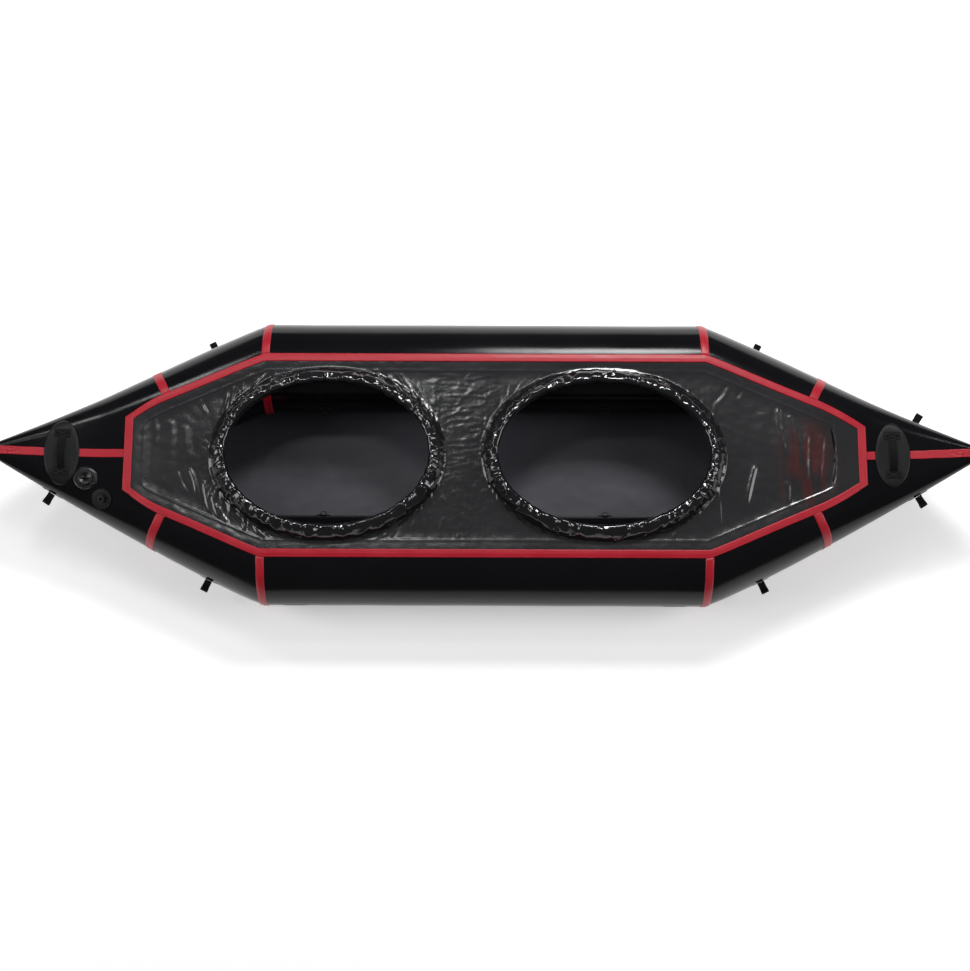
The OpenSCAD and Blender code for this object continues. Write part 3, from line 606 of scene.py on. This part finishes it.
bm = gridMesh(deckLook["across"], deckLook["along"], deckPlace)
inside = [f for f in bm.faces if any(ovalPlace(c, *f.calc_center_median().xy)[1] < 0.012
                                     for c in cockpits.values())]
bmesh.ops.delete(bm, geom=inside, context="FACES")
deckPiece = addPiece(bm, "deck", deckNylon, node="deck_sheet", thick=-deckLook["thick"])
print("deck made")

# coamings: film gathered over a hoop
coamingLook = {"around": 1500, "across": 26, "gather": 0.0095, "fine": 0.0009, "thick": 0.0004}


def coamingPlace(cockpit, seed):
    w, h = cockpit["width"] / 2, cockpit["height"]
    # outer foot, slope, over the hoop, smooth lip, down inside
    profile = [(w + 0.007, -0.0045), (w - 0.001, 0.001), (w * 0.8, h * 0.22), (w * 0.62, h * 0.45),
               (w * 0.35, h * 0.68), (0, h * 0.86), (-w * 0.4, h * 0.97), (-w * 0.8, h * 0.95),
               (-w * 1.0, h * 0.78), (-w * 0.98, h * 0.4), (-w * 0.9, 0.0), (-w * 0.85, -0.006)]
    a, b = cockpit["a"] + w, cockpit["b"] + w

    def place(u, v):
        t = 2 * math.pi * u
        c, s = math.cos(t), math.sin(t)
        along = v * (len(profile) - 1)
        i = min(len(profile) - 2, int(along))
        out, up = (profile[i][k] + (profile[i + 1][k] - profile[i][k]) * (along - i) for k in (0, 1))
        n = Vector((c / a, s / b, 0)).normalized()
        # noise runs round the ring, twisted a little so that gathers lean and cross
        twist = 0.16 * noise.noise(Vector((c * 5 + seed, s * 5, 1))) * (v - 0.4)
        q = Vector((math.cos(t + twist), math.sin(t + twist), 0))
        gather = ridged(q.x * 9.5 + seed, q.y * 9.5, v * 1.4) ** 1.4
        cross = ridged(q.x * 6.5 + seed, q.y * 6.5, v * 4.0) ** 1.5
        fine = ridged(q.x * 20 + seed, q.y * 20, v * 3.0) ** 1.5
        body = smooth(v * 5 + 0.25) * smooth((1 - v) * 3.5)
        lip = 1 - 0.7 * smooth((v - 0.5) * 6) * smooth((0.9 - v) * 6)
        push = coamingLook["gather"] * (0.6 * gather + 0.5 * cross - 0.55)
        push += coamingLook["fine"] * (fine - 0.4)
        push *= body * lip
        share = smooth((0.75 - v) * 5)
        p = Vector((cockpit["x"] + a * c, b * s, cockpit["base"]))
        return p + n * (out + push * (1 - share)) + Vector((0, 0, up + push * (0.2 + 0.8 * share)))
    return place


for k, (name, cockpit) in enumerate(cockpits.items()):
    bm = gridMesh(coamingLook["around"], coamingLook["across"], coamingPlace(cockpit, 3.7 * k), closed=True)
    piece = addPiece(bm, name + "Coaming", coamingNylon, node=name + "_coaming_sleeve",
                     thick=-coamingLook["thick"])
print("coamings made")

# seam tapes, a little uneven along their edges
tapeLook = {"thick": 0.0008, "lift": 0.0005, "firstAngle": 85.3, "lastAngle": -245, "crinkle": 0.0012,
            "edge": 0.0007, "endReach": 0.004, "endBack": 0.007, "mitre": 0.018}


def wobble(t, seed):
    return tapeLook["edge"] * noise.noise(Vector((t * 9, seed, 0)))


def ringTape(name, seamX, slant, mirrorX, mirrorY):
    first, last = tapeLook["firstAngle"], tapeLook["lastAngle"]

    def place(u, v):
        d = seamX + (v - 0.5) * tapeWidth + wobble(u * 3, seamX)
        lift = tapeLook["lift"] + tapeLook["thick"] + 0.0003 * noise.noise(Vector((u * 40, v * 3, seamX)))
        return skinPoint(d, first + (last - first) * u, lift, slant)
    words = name.split("_")
    addPiece(gridMesh(110, 6, place), words[0] + "".join(w.title() for w in words[1:]), tapeNylon, node=name,
             mirrorX=mirrorX, mirrorY=mirrorY, thick=-tapeLook["thick"])


for side, flipY in sides:
    for end, seam in seams.items():
        ringTape("%s_%s_tape" % (side, shoulderNames[end]), jointX, 0, end < 0, flipY)
        ringTape("%s_%s_tape" % (side, endNames[end]), seam, seamSlant, end < 0, flipY)


# half on the deck, half bent down over the tube's shoulder
def deckTapePlace(u, v):
    x = deckLow.x + (deckHigh.x - deckLow.x) * u
    out = (v - 0.5) * tapeWidth + wobble(u * 14, 3)
    y = deckHalf(x) + out
    shoulder = topHeight(abs(x), y) + 0.0004
    z = max(deckTop + 0.0002, shoulder) if out < 0.004 else shoulder
    ripple = 0.0003 * noise.noise(Vector((x * 30, v * 2, 4)))
    return Vector((x, y, z + tapeLook["thick"] + 0.0006 * (1 - smooth((out - 0.001) / 0.006)) + ripple))


# mitred, so that its corners follow the side tapes
def endTapePlace(end):
    half = deckHalf(end * deckEnds[end]) + tapeWidth / 2 + tapeLook["endReach"]

    def place(u, v):
        x = deckEnds[end] - tapeLook["endBack"] + tapeWidth * u + wobble(v * 2, end)
        y = (half - tapeLook["mitre"] * u) * (2 * v - 1)
        return Vector((x, y, deckTop + 0.0022 - 0.0012 * smooth(u * 3 - 1)))
    return place


# tape along the cone's top; it crinkles where it wraps the narrow tip
def centreTapePlace(low, high):
    def place(u, v):
        d = low + (high - low) * v
        half = min(tapeWidth / 2, hullCentre(d) + hullRadius(d) * 0.85)
        y = half * (2 * u - 1) + wobble(d * 3, 5)
        tight = smooth((d - halfLength + 0.13) / 0.08)
        crinkle = tapeLook["crinkle"] * tight * (ridged(d * 130, y * 90, 3) - 0.4)
        return Vector((d, y, topHeight(d, y) + tapeLook["lift"] + tapeLook["thick"] + crinkle))
    return place


for side, flipY in sides:
    addPiece(gridMesh(420, 8, deckTapePlace), side + "DeckTape", tapeNylon, node=side + "_deck_tape",
             mirrorY=flipY, thick=-tapeLook["thick"])
for end, word in endNames.items():
    addPiece(gridMesh(6, 60, endTapePlace(end)), word + "DeckTape", tapeNylon, node=word + "_deck_tape",
             mirrorX=end < 0, thick=-tapeLook["thick"])
    patch = [abs(p.x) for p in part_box(word + "_handle_patch")]
    bm = bmesh.new()
    for low, high in ((deckEnds[end] + 0.02, min(patch) - 0.0006), (max(patch) + 0.0006, halfLength - 0.001)):
        mergeInto(bm, gridMesh(12, round((high - low) / 0.002), centreTapePlace(low, high)))
    addPiece(bm, word + "CentreTape", tapeNylon, node=word + "_centre_tape",
             mirrorX=end < 0, thick=-tapeLook["thick"])
print("tapes made")

# sewn line along the deck's border: one small thread bar for each stitch
stitchLook = {"length": 0.004, "pitch": 0.0062, "radius": 0.0005}


def stitchBar(bm, start, stop, radius):
    reach = stop - start
    turn = reach.to_track_quat("Z", "Y").to_matrix().to_4x4()
    part = bmesh.new()
    bmesh.ops.create_cone(part, cap_ends=True, segments=6, radius1=radius, radius2=radius, depth=reach.length)
    mergeInto(bm, part, Matrix.Translation((start + stop) / 2) @ turn)


def borderPoint(x, side):
    y = side * (deckHalf(x) - deckLook["seamAt"] / (deckLook["slantLean"] if abs(x) > jointX else 1.0))
    return Vector((x, y, deckTop + deckHeight(x, y) + 0.0003))


bm = bmesh.new()
reachLow, reachHigh = deckLow.x + deckLook["seamAt"], deckHigh.x - deckLook["seamAt"]
for side in (-1, 1):
    for k in range(int((reachHigh - reachLow) / stitchLook["pitch"])):
        x = reachLow + k * stitchLook["pitch"]
        points = borderPoint(x, side), borderPoint(x + stitchLook["length"], side)
        if min(ovalPlace(c, *points[0].xy)[1] for c in cockpits.values()) > 0.056:
            stitchBar(bm, points[0], points[1], stitchLook["radius"])
addPiece(bm, "deckStitching", blackThread)
print("stitching made")

# oval patches draped on the cones under the handles
patchLook = {"rings": 14, "around": 96, "lift": 0.0009, "thick": 0.001}
for end, word in endNames.items():
    low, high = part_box(word + "_handle_patch")
    cx, a, b = abs(low.x + high.x) / 2, (high.x - low.x) / 2, (high.y - low.y) / 2

    def patchPlace(u, v):
        t, r = 2 * math.pi * u, 1 - v
        # a rounded oblong rather than a plain oval
        square = 1 / (abs(math.cos(t)) ** 3 + abs(math.sin(t)) ** 3) ** (1 / 3)
        x, y = cx + a * r * math.cos(t) * min(1, square), b * r * math.sin(t) * min(1, square)
        roll = 0.0005 * smooth((r - 0.85) * 8)
        return Vector((x, y, topHeight(x, y) + patchLook["lift"] + patchLook["thick"] - roll))
    addPiece(gridMesh(patchLook["around"], patchLook["rings"], patchPlace, closed=True), word + "HandlePatch",
             patchNylon, node=word + "_handle_patch", mirrorX=end < 0,
             thick=-patchLook["thick"])


def handleFrame(end):
    low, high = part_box(endNames[end] + "_handle_patch")
    cx = abs(low.x + high.x) / 2
    slope = math.atan((hullCrown(cx + 0.001) - hullCrown(cx - 0.001)) / 0.002)
    lift = hullCrown(cx) + 0.0028
    return Matrix.Translation((cx, 0, lift)) @ Matrix.Rotation(-slope, 4, "Y")


# webbing handles: sewn T-shaped tabs and an arched strap
handleLook = {"width": 0.024, "thick": 0.0018, "span": 0.1, "foot": 0.008, "rise": 0.02,
              "tab": (0.052, 0.026), "stitchInset": 0.004, "stitchPitch": 0.004, "stitchRadius": 0.00045}
for end, word in endNames.items():
    place = handleFrame(end)
    half = handleLook["span"] / 2
    bendRadius = (half ** 2 + handleLook["rise"] ** 2) / (2 * handleLook["rise"])
    sweep = math.asin(half / bendRadius)

    def strapPlace(u, v):
        t = (2 * v - 1) * sweep
        sway = 0.0012 * noise.noise(Vector((v * 4, end * 2.0, 0)))
        r = bendRadius + 0.0006 * (1 - (2 * u - 1) ** 2)
        x = (u - 0.5) * handleLook["width"] + sway
        y = r * math.sin(t)
        z = handleLook["foot"] + handleLook["rise"] - bendRadius + r * math.cos(t)
        return place @ Vector((x, y, z))
    addPiece(gridMesh(10, 60, strapPlace), word + "HandleStrap", blackWebbing, body=word + "_handle",
             node=word + "_handle_strap", mirrorX=end < 0, thick=-handleLook["thick"])
    tabs, threads = bmesh.new(), bmesh.new()
    tabX, tabY = handleLook["tab"]
    for side in (-1, 1):
        y = side * (half + 0.002)
        middle = y + side * 0.012
        mergeInto(tabs, roundedBox((tabX, tabY, handleLook["thick"]), (0, middle, handleLook["thick"] / 2),
                                   0.0006), place)
        riser = roundedBox((0.0225, 0.003, handleLook["foot"] - 0.0021),
                           (0, y - side * 0.0015 - side * 0.0005, handleLook["foot"] / 2 - 0.001), 0.0007)
        mergeInto(tabs, riser, place)
        # box stitch
        top = handleLook["thick"] + 0.0002
        e = handleLook["stitchInset"]
        inset = [(-tabX / 2 + e, middle - tabY / 2 + e), (tabX / 2 - e, middle - tabY / 2 + e),
                 (tabX / 2 - e, middle + tabY / 2 - e), (-tabX / 2 + e, middle + tabY / 2 - e)]
        runs = [(inset[i], inset[(i + 1) % 4]) for i in range(4)]
        runs += [(inset[0], inset[2]), (inset[1], inset[3])]
        for (x0, y0), (x1, y1) in runs:
            count = max(2, round(math.hypot(x1 - x0, y1 - y0) / handleLook["stitchPitch"]))
            for k in range(count):
                ends = [place @ Vector((x0 + (x1 - x0) * (k + f) / count,
                                        y0 + (y1 - y0) * (k + f) / count, top)) for f in (0.15, 0.85)]
                stitchBar(threads, ends[0], ends[1], handleLook["stitchRadius"])
    addPiece(tabs, word + "HandleTabs", blackWebbing, node=word + "_handle_tabs",
             mirrorX=end < 0)
    addPiece(threads, word + "HandleStitching", blackThread, mirrorX=end < 0)
print("handles made")

# tie-down loops: a band of webbing folded round an eye, on a welded base
loopLook = {"angle": -12, "width": 0.024, "thick": 0.0018, "root": 0.026, "eye": 0.006, "pivot": 0.0031,
            "base": (0.056, 0.034), "baseThick": 0.001}


def loopFrame(d):
    a = loopLook["angle"]
    around = skinPoint(d, a + 1) - skinPoint(d, a - 1)
    along = skinPoint(d + 0.001, a) - skinPoint(d - 0.001, a)
    out = around.cross(along).normalized()
    sideways = Matrix.Rotation(-math.atan2(out.x, out.y), 4, "Z")
    tilt = Matrix.Rotation(math.asin(out.z) - math.pi / 2, 4, "X")
    return Matrix.Translation(skinPoint(d, a, 0.0003)) @ (sideways @ tilt)


def loopPath(t):
    root, eye = loopLook["root"], loopLook["eye"]
    side, middle = 0.0010, loopLook["pivot"] + root + eye + 0.0009
    # up one side, round the eye, and back down the other
    if t < 0.3 or t > 0.7:
        f = t / 0.3 if t < 0.5 else (1 - t) / 0.3
        z = loopLook["pivot"] + (middle - eye * 0.8 - loopLook["pivot"]) * f
        spread = side + (eye * 0.6 + 0.0009 - side) * smooth((f - 0.6) / 0.4)
        return (-spread if t < 0.5 else spread), z
    a = math.radians(233 - 286 * (t - 0.3) / 0.4)
    return (eye + 0.0009) * math.cos(a), middle + (eye + 0.0009) * math.sin(a)


loopPlaces = [("port_aft_loop", -1, False, 0.915), ("port_fore_loop", 1, False, 0.915),
              ("port_bow_loop", 1, False, 1.422), ("starboard_aft_loop", -1, True, 0.915),
              ("starboard_fore_loop", 1, True, 0.915), ("starboard_bow_loop", 1, True, 1.422),
              ("starboard_stern_loop", -1, True, 1.422)]
bases = bmesh.new()
for name, end, flipY, d in loopPlaces:
    place = loopFrame(d)

    def bandPlace(u, v):
        y, z = loopPath(v)
        return place @ Vector(((u - 0.5) * loopLook["width"], y, z))

    def basePlace(u, v):
        t, r = 2 * math.pi * u, 1 - v
        square = 1 / (abs(math.cos(t)) ** 5 + abs(math.sin(t)) ** 5) ** 0.2
        x = loopLook["base"][0] / 2 * r * math.cos(t) * square
        y = loopLook["base"][1] / 2 * r * math.sin(t) * square
        angle = loopLook["angle"] - math.degrees(y / hullRadius(d))
        return skinPoint(d + x, angle, 0.0008 + loopLook["baseThick"] - 0.0004 * smooth((r - 0.85) * 8))
    words = name.split("_")
    bm = gridMesh(8, 56, bandPlace)
    bmesh.ops.recalc_face_normals(bm, faces=bm.faces)
    bmesh.ops.solidify(bm, geom=bm.faces[:], thickness=loopLook["thick"])
    addPiece(bm, words[0] + words[1].title() + "Loop", blackWebbing, body=name, node=name,
             mirrorX=end < 0, mirrorY=flipY)
    flip = Matrix.Diagonal((end, -1 if flipY else 1, 1, 1))
    part = gridMesh(48, 6, basePlace, closed=True)
    bmesh.ops.recalc_face_normals(part, faces=part.faces)
    bmesh.ops.solidify(part, geom=part.faces[:], thickness=loopLook["baseThick"])
    mergeInto(bases, part, flip)
addPiece(bases, "tieDownPatches", patchNylon, node="tie_down_patches")
print("loops made")


# valves on the stern's starboard side
def valveFrame(d, y):
    e = 0.001
    n = Vector((topHeight(d - e, y) - topHeight(d + e, y), topHeight(d, y - e) - topHeight(d, y + e), 2 * e))
    n.normalize()
    turn = Matrix.Rotation(math.atan2(n.x, n.z), 4, "Y") @ Matrix.Rotation(-math.asin(n.y), 4, "X")
    half = Matrix.Diagonal((-1, -1, 1, 1))
    return half @ Matrix.Translation((d, y, topHeight(d, y))) @ turn @ half


valveLook = {"inflation": (1.3, 0.085), "mouth": (1.246, 0.15), "flange": 0.038, "mouthFlange": 0.033,
             "neck": 0.0198, "mouthBore": 0.0153, "flangeLow": 0.0018, "rimTop": 0.0046, "hinge": 0.031,
             "hingeHeight": 0.0086, "capLow": 0.0088, "cap": 0.022}


def flangeMesh(radius, hole):
    low, top = valveLook["flangeLow"], valveLook["rimTop"]
    bm = roundRing(hole, radius - 0.0034, low, low + 0.0016, 0.0004)
    mergeInto(bm, roundRing(radius - 0.0036, radius, low, top, 0.0011))
    # a shallow welding step and a raised collar round the hole
    mergeInto(bm, roundRing(hole + 0.0035, hole + 0.0055, low + 0.0013, low + 0.0022, 0.0004))
    return bm


bm = flangeMesh(valveLook["flange"], valveLook["neck"])
hingeTurn = Matrix.Rotation(-math.pi / 4, 4, "Z")
lugTop = valveLook["hingeHeight"] + 0.0015
for side in (-1, 1):
    mergeInto(bm, roundedBox((0.005, 0.0025, lugTop - 0.0028),
                             (valveLook["hinge"], side * 0.0055, (lugTop + 0.0028) / 2), 0.0006), hingeTurn)
pin = bmesh.new()
bmesh.ops.create_cone(pin, cap_ends=True, segments=24, radius1=0.0011, radius2=0.0011, depth=0.0135)
mergeInto(bm, pin, hingeTurn @ Matrix.Translation((valveLook["hinge"], 0, valveLook["hingeHeight"]))
          @ Matrix.Rotation(math.pi / 2, 4, "X"))
inflationPlace = valveFrame(*valveLook["inflation"])
bmesh.ops.transform(bm, matrix=inflationPlace, verts=bm.verts)
addPiece(bm, "inflationFlange", flangePlastic, node="inflation_flange")

# cap: grooved edge, shallow dish, rounded finger bar
cz, r = valveLook["capLow"], valveLook["cap"]
bm = turned([(0.0001, cz), (r - 0.0006, cz), (r, cz + 0.0005), (r, cz + 0.0012), (r - 0.0006, cz + 0.0017),
             (r - 0.0033, cz + 0.0017), (r - 0.0033, cz + 0.0040), (r - 0.0006, cz + 0.0040),
             (r, cz + 0.0045), (r, cz + 0.0054), (r - 0.0007, cz + 0.0060), (r - 0.0030, cz + 0.0059),
             (r - 0.0045, cz + 0.0050), (0.0001, cz + 0.0048)])
mergeInto(bm, roundedBox((2 * r - 0.01, 0.004, 0.0052), (0, 0, cz + 0.0074), 0.0013, 3))
for k in range(24):
    mergeInto(bm, roundedBox((0.0012, 0.0012, 0.0014), (r - 0.0002, 0, cz + 0.00495), 0.0003, 1),
              Matrix.Rotation(math.radians(15 * k), 4, "Z"))
bmesh.ops.transform(bm, matrix=inflationPlace, verts=bm.verts)
addPiece(bm, "inflationCap", valvePlastic, body="cap", node="inflation_cap")

bm = flangeMesh(valveLook["mouthFlange"], valveLook["mouthBore"])
mouthPlace = valveFrame(*valveLook["mouth"])
bmesh.ops.transform(bm, matrix=mouthPlace, verts=bm.verts)
addPiece(bm, "mouthFlange", patchNylon, node="mouth_flange")
print("valves made")

# carried-over parts get their materials
finishes = {"hoop_plastic": hoopPlastic, "valve_flange": flangePlastic, "valve_plastic": valvePlastic,
            "spring_steel": springSteel, "seal_rubber": sealRubber, "webbing": blackWebbing,
            "patch_fabric": patchNylon, "tube_fabric": tubeNylon, "seam_tape": tapeNylon,
            "coaming_fabric": coamingNylon, "deck_fabric": deckNylon, "floor_fabric": floorNylon}
for part in frame["record"]["subparts"]:
    for slotPlace in frame["nodes"][part["node"]].material_slots:
        slotPlace.material = finishes[part["material_slot"]]

# pale floor that glows a little, a softbox at each end, and three strips that draw the long glints
studio = {"floorSize": 30, "floorColor": "#f8f8f8", "floorGlow": 0.35, "world": 0.12}
lights = (("bowBox", (5.2, -0.3, 3.8), (0, 0, 0.1), (2.8, 3.4), 135),
          ("sternBox", (-5.2, -0.3, 3.8), (0, 0, 0.1), (2.8, 3.4), 135),
          ("bowStrip", (0.72, 2.35, 3.2), (0.45, 0.3, 0.3), (1.2, 0.7), 90),
          ("sternTop", (-0.75, 1.40, 3.65), (-0.45, 0.0, 0.3), (1.0, 0.3), 10),
          ("sternStrip", (-2.0, 2.1, 3.15), (-1.3, 0.1, 0.3), (0.4, 0.4), 14))


def addLight(name, place, aim, size, power):
    data = bpy.data.lights.new(name, "AREA")
    data.shape = "RECTANGLE"
    data.size, data.size_y = size
    data.energy = power
    light = bpy.data.objects.new(name, data)
    light.location = place
    light.rotation_euler = (Vector(aim) - Vector(place)).to_track_quat("-Z", "Y").to_euler()
    bpy.context.scene.collection.objects.link(light)


def addGround():
    bm = bmesh.new()
    bmesh.ops.create_grid(bm, x_segments=1, y_segments=1, size=studio["floorSize"] / 2)
    mesh = bpy.data.meshes.new("studioFloor")
    bm.to_mesh(mesh)
    bm.free()
    ground = bpy.data.objects.new("studioFloor", mesh)
    bpy.context.scene.collection.objects.link(ground)
    material, tree, shader = newMaterial("mattPaintedFloor")
    shader.inputs["Base Color"].default_value = fromHex(studio["floorColor"])
    shader.inputs["Roughness"].default_value = 0.9
    shader.inputs["Emission Color"].default_value = fromHex(studio["floorColor"])
    shader.inputs["Emission Strength"].default_value = studio["floorGlow"]
    mesh.materials.append(material)


addGround()
for light in lights:
    addLight(*light)
world = bpy.data.worlds.new("studio")
world.use_nodes = True
world.node_tree.nodes["Background"].inputs["Color"].default_value = (1, 1, 1, 1)
world.node_tree.nodes["Background"].inputs["Strength"].default_value = studio["world"]
bpy.context.scene.world = world
bpy.context.scene.view_settings.view_transform = "Standard"
print("studio made")
